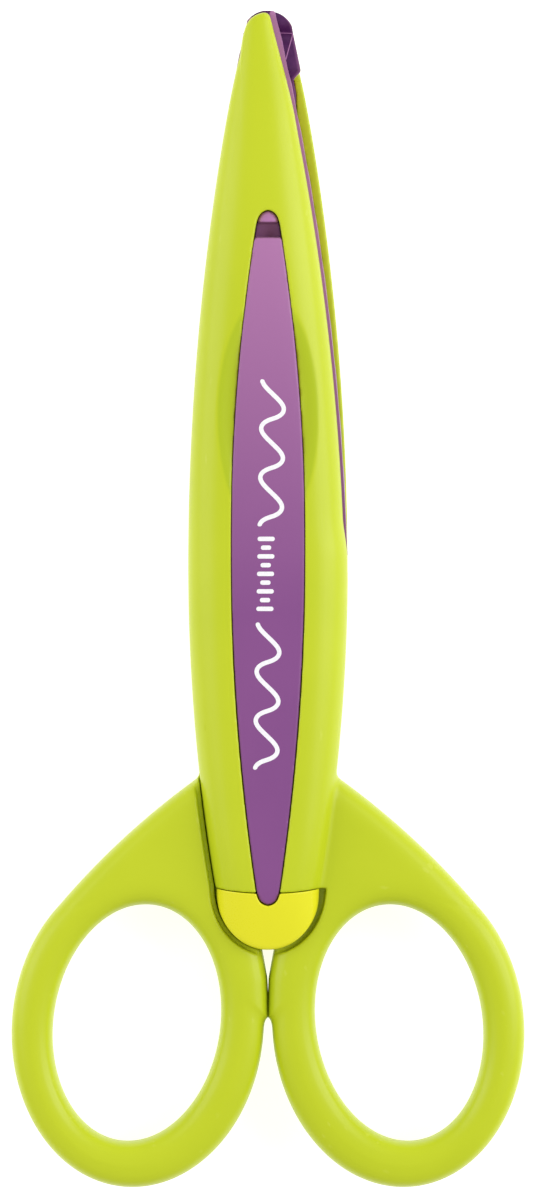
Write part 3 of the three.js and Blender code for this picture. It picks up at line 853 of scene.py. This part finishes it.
def tipRidge(direction):
    h = HalfShape(f"tipRidge{direction}", {**bladeShape, "direction": direction, "ridgeRadius": 0.085})
    s, tree = h.size, h.tree
    lines = tree.nodes.new("GeometryNodeJoinGeometry")
    for start, end in tipLines:
        step = tuple((last - first) / 24 for first, last in zip(start, end))
        sockets = {"Count": 25, "Start Location": start, "Offset": step}
        tree.links.new(addNode(tree, "GeometryNodeMeshLine", None, sockets).socket, lines.inputs[0])
    place = addNode(tree, "ShaderNodeCombineXYZ", None, {2: runningFace(h, length(h.x, h.y))})
    line = {"Geometry": Value(tree, lines.outputs[0]), "Offset": place}
    line = addNode(tree, "GeometryNodeSetPosition", None, line)
    line = addNode(tree, "GeometryNodeMeshToCurve", None, {"Mesh": line})
    sockets = {"Resolution": 8, "Radius": s["ridgeRadius"]}
    section = addNode(tree, "GeometryNodeCurvePrimitiveCircle", None, sockets)
    sockets = {"Curve": line, "Profile Curve": section, "Fill Caps": True}
    return h.finish(addNode(tree, "GeometryNodeCurveToMesh", None, sockets), purple)


# The pad that carries the spine, with a thumbnail pocket and a domed nose in the slot's end
def padField(h):
    x, y, z = h.x, h.y, h.z
    width = most(abs(x) - blade["padHalfWidth"], abs(x) - h.spineSide())
    plan = both(width, y - spine["slotTopY"] + 0.05, 1.55)
    plan = both(plan, blade["padStartY"] - y, 0.5)
    pastNail = y - blade["nailStartY"]
    body = most(plan, z - h.spineFloor() + blade["padGap"], pastNail)
    pocket = most(plan, z - h.crown + blade["nailDepth"] - pastNail * blade["nailSlope"])
    dome = both(both(plan, z - h.crown + blade["domeBelow"], 0.9), blade["domeStartY"] - y, 0.3)
    shape = most(least(body, pocket, dome), runningFace(h, length(x, y)) + 0.35 - z)
    for pegY in spine["pegY"]:
        shape = most(shape, -h.rod(spine["pegRadius"] + 0.2, spine["pegBottomZ"] - 0.4, 9.0, pegY))
    return shape


def makeBlades():
    voxel = 0.15
    for direction, (side, place) in zip((1.0, -1.0), halves.items()):
        h = HalfShape(f"bladePad{direction}", {**bladeShape, "direction": direction, "voxel": voxel})
        pad = h.mesh(padField(h), (-3.6, 13.2, -0.8), (3.6, 59.0, 7.2), purple)
        body, node = f"{side}_half", f"{side}_blade"
        addPiece(f"{node}_plate", bladeMesh(direction), place, body, "purple_plastic", node, sharp=38)
        addPiece(f"{node}_pad", pad, place, body, "purple_plastic", node)
        addPiece(f"{node}_tip_ridge", tipRidge(direction), place, body, "purple_plastic")


makeBlades()
print("blades made")


# Pivot stack, button screws and springs
pivot = {
    "bedZ": 4.2,
    "endZ": 5.5,
    "shaftRadius": 2.0,
    "shaftTopZ": 5.2,
    "headRadius": 3.6,
    "headBottomZ": 4.54,
    "coreRadius": 3.1,
    "chamfer": 0.3,
    "slotReach": 2.6,
    "slotHalf": 0.45,
    "slotBottomZ": 4.95,
    "threadPitch": 0.5,
    "threadDepth": 0.1,
    "nutRadius": 3.4,
    "nutBore": 2.02,
    "nutTopZ": -4.66,
    "nutSlotHalf": 0.5,
    "nutSlotZ": -5.15,
    "dishBore": 2.15,
    "dishRadius": 3.9,
    "dishTopZ": -4.36,
    "dishBottomZ": -4.61,
    "dishSlope": 0.08,
    "washerRadius": 3.9,
    "washerBore": 2.1,
    "washerGap": 0.02,
    "washerTop": 0.3,
    "thrustRadius": 4.5,
    "thrustBore": 2.15,
    "thrustHalf": 0.25,
}
spring = {"radius": 1.9, "wire": 0.2, "turns": 2.5, "bottomZ": 2.48, "topZ": 4.99}
buttonScrew = {
    "headRadius": 1.9,
    "headZ": (0.78, 1.26),
    "shankRadius": 0.62,
    "shankZ": (1.2, 3.6),
    "slotHalf": 0.2,
    "slotReach": 1.3,
    "slotTopZ": 0.98,
}


def makeHardware(name, field, reach, z0, z1, y, voxel, place, body, material, slotName):
    h = HalfShape(name, {**pivot, "voxel": voxel * 1})
    mesh = h.mesh(field(h), (-reach, y - reach, z0), (reach, y + reach, z1), material, 0.35)
    addPiece(f"{name}_turned", mesh, place, body, slotName, name)


def screwField(h):
    s = h.size
    turn = h.y.math("ARCTAN2", h.x) / (2 * math.pi)
    thread = abs((h.z / s["threadPitch"] - turn).math("FRACT") - 0.5)
    groove = thread * (1.0 - ramp(h.z, -s["bedZ"] - 0.5, -s["bedZ"] - 0.3)) * s["threadDepth"] * 2.0
    shaft = both(length(h.x, h.y) - s["shaftRadius"] + groove, -s["endZ"] - h.z, 0.2)
    shaft = most(shaft, h.z - s["shaftTopZ"])
    core = h.rod(s["coreRadius"], s["headBottomZ"], s["endZ"])
    chamfer = length(h.x, h.y) + h.z - s["headRadius"] - s["endZ"] + s["chamfer"]
    head = both(h.rod(s["headRadius"], s["headBottomZ"], s["endZ"]), chamfer, 0.1)
    slot = h.box(-s["slotReach"], s["slotReach"], -s["slotHalf"], s["slotHalf"], s["slotBottomZ"], overAll)
    return without(least(shaft, head, core), slot, 0.05)


def nutField(h):
    s = h.size
    chamfer = length(h.x, h.y) - h.z - s["nutRadius"] - s["endZ"] + s["chamfer"]
    nut = both(h.rod(s["nutRadius"], -s["endZ"], s["nutTopZ"]), chamfer, 0.1)
    nut = without(nut, h.rod(s["nutBore"], underAll, 0.0), 0.05)
    reach = s["nutRadius"] + 1.0
    slot = h.box(-reach, reach, -s["nutSlotHalf"], s["nutSlotHalf"], underAll, s["nutSlotZ"])
    return without(nut, slot, 0.05)


def springWasherField(h):
    s = h.size
    radius = length(h.x, h.y)
    height = h.z - (radius - s["dishBore"]) * s["dishSlope"]
    plan = both(radius - s["dishRadius"], s["dishBore"] - radius, 0.05)
    return both(plan, most(height - s["dishTopZ"], s["dishBottomZ"] - height), 0.06)


def headWasherField(h):
    s = h.size
    washer = h.rod(s["washerRadius"], s["bedZ"] + s["washerGap"], s["bedZ"] + s["washerTop"], 0.0, 0.06)
    return without(washer, h.rod(s["washerBore"], underAll, overAll), 0.05)


def thrustWasherField(h):
    s = h.size
    washer = h.rod(s["thrustRadius"], -s["thrustHalf"], s["thrustHalf"], 0.0, 0.06)
    return without(washer, h.rod(s["thrustBore"], underAll, overAll), 0.05)


def buttonScrewField(h):
    postY, reach = inside["postY"], buttonScrew["slotReach"]
    head = h.rod(buttonScrew["headRadius"], *buttonScrew["headZ"], postY, 0.08)
    shank = joined(head, h.rod(buttonScrew["shankRadius"], *buttonScrew["shankZ"], postY, 0.1), 0.12)
    half = buttonScrew["slotHalf"]
    slot = h.box(-half, half, postY - reach, postY + reach, 0.0, buttonScrew["slotTopZ"])
    return without(shank, slot, 0.03)


def springMesh():
    h = HalfShape("buttonSpring", spring)
    s, tree = h.size, h.tree
    rise = s["topZ"] - s["bottomZ"] - s["wire"] * 2.0
    line = {"Resolution": 40, "Rotations": s["turns"], "Start Radius": s["radius"], "End Radius": s["radius"]}
    line = addNode(tree, "GeometryNodeCurveSpiral", None, {**line, "Height": rise})
    lift = addNode(tree, "ShaderNodeCombineXYZ", None, {1: inside["postY"], 2: s["bottomZ"] + s["wire"]})
    line = addNode(tree, "GeometryNodeSetPosition", None, {"Geometry": line, "Offset": lift})
    section = addNode(tree, "GeometryNodeCurvePrimitiveCircle", None, {"Resolution": 12, "Radius": s["wire"]})
    sockets = {"Curve": line, "Profile Curve": section, "Fill Caps": True}
    return h.finish(addNode(tree, "GeometryNodeCurveToMesh", None, sockets), springSteel)


def makeFittings():
    root = (toFront, "rear_half")
    steel, sprung = (zinc, "pivot_steel"), (springSteel, "spring_steel")
    makeHardware("pivot_screw", screwField, 3.8, -5.7, 5.7, 0.0, 0.09, *root, *steel)
    makeHardware("pivot_nut", nutField, 3.6, -5.7, -4.4, 0.0, 0.07, *root, *steel)
    makeHardware("pivot_head_washer", headWasherField, 4.1, 4.0, 4.7, 0.0, 0.06, *root, *steel)
    makeHardware("pivot_spring_washer", springWasherField, 4.1, -4.8, -4.0, 0.0, 0.06, *root, *sprung)
    makeHardware("pivot_thrust_washer", thrustWasherField, 4.7, -0.4, 0.4, 0.0, 0.07, *root, nylon, "nylon")
    wire = springMesh()
    for side, place in halves.items():
        name = f"{side}_button_spring"
        coil = addPiece(f"{name}_coil", wire, place, f"{side}_half", "spring_steel", name)
        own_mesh(coil)
        onButton = (place, f"{side}_button")
        name = f"{side}_button_screw"
        makeHardware(name, buttonScrewField, 2.1, 0.6, 3.8, inside["postY"], 0.07, *onButton, *steel)


makeFittings()
print("fittings made")


# White print on the spines: two runs of the cutting pattern, with a scale of short bars between them
printed = {
    "stroke": 0.6,
    "wave": 6.62,
    "halfHeight": 1.5,
    "squareness": 0.05,
    "skew": 0.375,
    "hook": 0.142,
    "runs": 3.0,
    "points": 400,
    "upperY": 35.25,
    "lowerY": 2.42,
    "bars": 9,
    "barX": -0.55,
    "barY": 13.7,
    "barStep": 1.18,
    "barLength": 2.3,
    "shortBar": 0.6,
    "filmTop": 0.035,
}
printLean = {"start": 0.05, "slope": 0.0187}  # it stands a little askew: across at the pivot, and per length


def printMesh():
    h = HalfShape("whitePrint", printed)
    s, tree = h.size, h.tree
    index = addNode(tree, "GeometryNodeInputIndex")
    lines = []
    for start in (s["upperY"], s["lowerY"]):
        phase = index / s["points"] * s["runs"] * (2 * math.pi) - math.pi / 2
        sine = phase.math("SINE")
        flatter = sine - (phase * 3.0).math("SINE") * s["squareness"]
        x = s["halfHeight"] * flatter / (s["squareness"] + 1.0)
        hook = (phase * 2.0).math("SINE") * s["hook"]
        y = start - s["skew"] - s["wave"] * (phase / (2 * math.pi) + 0.25) - s["skew"] * sine + hook
        place = addNode(tree, "ShaderNodeCombineXYZ", None, {0: x, 1: y})
        line = addNode(tree, "GeometryNodeMeshLine", None, {"Count": s["points"] + 1.0})
        line = addNode(tree, "GeometryNodeSetPosition", None, {"Geometry": line, "Position": place})
        lines.append(addNode(tree, "GeometryNodeMeshToCurve", None, {"Mesh": line}))
    place = addNode(tree, "ShaderNodeCombineXYZ", None, {0: s["barX"], 1: s["barY"] - index * s["barStep"]})
    marks = addNode(tree, "GeometryNodeMeshLine", None, {"Count": s["bars"]})
    marks = addNode(tree, "GeometryNodeSetPosition", None, {"Geometry": marks, "Position": place})
    reach = addNode(tree, "ShaderNodeCombineXYZ", None, {0: s["barLength"] / 2})
    back = addNode(tree, "ShaderNodeCombineXYZ", None, {0: -s["barLength"] / 2})
    bar = addNode(tree, "GeometryNodeCurvePrimitiveLine", None, {"Start": back, "End": reach})
    size = 1.0 - (index / 2.0).math("FRACT") * 2.0 * (1.0 - s["shortBar"])  # every other bar is short
    scale = addNode(tree, "ShaderNodeCombineXYZ", None, {0: size, 1: 1.0, 2: 1.0})
    sockets = {"Points": marks, "Instance": bar, "Scale": scale}
    bars = addNode(tree, "GeometryNodeInstanceOnPoints", None, sockets)
    lines.append(addNode(tree, "GeometryNodeRealizeInstances", None, {0: bars}))
    joinedLines = tree.nodes.new("GeometryNodeJoinGeometry")
    for line in reversed(lines):
        tree.links.new(line.socket, joinedLines.inputs[0])
    curves = Value(tree, joinedLines.outputs[0])
    even = {"Curve": curves, "Length": 0.06}
    curves = addNode(tree, "GeometryNodeResampleCurve", {"mode": "LENGTH"}, even)
    along = addNode(tree, "GeometryNodeSplineParameter", output=1)
    total = addNode(tree, "GeometryNodeSplineLength")
    fromEnd = least(along, total - along) + 0.02  # each stroke ends in a half circle
    inward = 1.0 - clamped(fromEnd * 2.0 / s["stroke"])
    width = (1.0 - inward * inward).math("SQRT")
    curves = addNode(tree, "GeometryNodeSetCurveNormal", {"mode": "Z_UP"}, {"Curve": curves})
    film = {"Width": s["stroke"], "Height": s["filmTop"] * 2.0}
    section = addNode(tree, "GeometryNodeCurvePrimitiveQuadrilateral", None, film)
    sockets = {"Curve": curves, "Profile Curve": section, "Scale": width, "Fill Caps": True}
    return h.finish(addNode(tree, "GeometryNodeCurveToMesh", None, sockets), ink)


# The film lies on the moulding: each point takes its height from the spine under it.
def makePrints():
    film = printMesh()
    under = bmesh.new()
    under.from_mesh(spineMesh)
    surface = BVHTree.FromBMesh(under)
    under.free()
    for point in film.vertices:
        point.co.x += printLean["start"] + printLean["slope"] * point.co.y
        hit = surface.ray_cast(Vector((point.co.x, point.co.y, overAll)), Vector((0, 0, -1)))[0]
        point.co.z += hit.z
    for side, place in halves.items():
        addPiece(f"{side}_wave_print", film, place, f"{side}_spine", "nylon", sharp=40)


makePrints()
print("prints made")


# Camera, lights and floor
floorLook = {
    "Base Color": (0.6, 0.6, 0.6, 1),
    "Roughness": 0.9,
    "Emission Color": (1, 1, 1, 1),
    "Emission Strength": 0.74,
}
view = {"lens": 180.0, "frameHeight": 0.1634, "lookAt": (0.0, -0.0001, 0.0074)}
studio = {"key": 6.0, "fill": 4.0, "sky": 0.58, "panelSize": (0.5, 0.9)}


def addCamera():
    data = bpy.data.cameras.new("camera")
    data.lens = view["lens"]
    data.sensor_width = 36.0
    camera = bpy.data.objects.new("camera", data)
    bpy.context.scene.collection.objects.link(camera)
    distance = view["frameHeight"] * view["lens"] / data.sensor_width
    camera.location = Vector(view["lookAt"]) + Vector((0, 0, distance))
    data.clip_start, data.clip_end = 0.01, 10.0
    bpy.context.scene.camera = camera


def addSoftLight(name, place):
    data = bpy.data.lights.new(f"{name}Panel", "AREA")
    data.shape = "RECTANGLE"
    data.size, data.size_y = studio["panelSize"]
    data.energy = studio[name]
    light = bpy.data.objects.new(f"{name}Panel", data)
    light.location = place
    light.rotation_euler = (-Vector(place)).to_track_quat("-Z", "Y").to_euler()
    bpy.context.scene.collection.objects.link(light)


def addFloor():
    bpy.ops.mesh.primitive_plane_add(size=6, location=(0, 0, -0.0002))
    floor = bpy.context.object
    floor.name = "floor"
    material, _, _ = newMaterial("floorWhite", floorLook)
    floor.data.materials.append(material)


def addSky():
    world = bpy.data.worlds.new("studio")
    world.use_nodes = True
    background = world.node_tree.nodes["Background"]
    background.inputs["Color"].default_value = (1, 1, 1, 1)
    background.inputs["Strength"].default_value = studio["sky"]
    bpy.context.scene.world = world


addCamera()
addSoftLight("key", (0.75, 0.2, 0.55))
addSoftLight("fill", (-0.8, 0.2, 0.5))
addFloor()
addSky()
bpy.context.scene.view_settings.view_transform = "Standard"
print("camera, lights and floor placed")
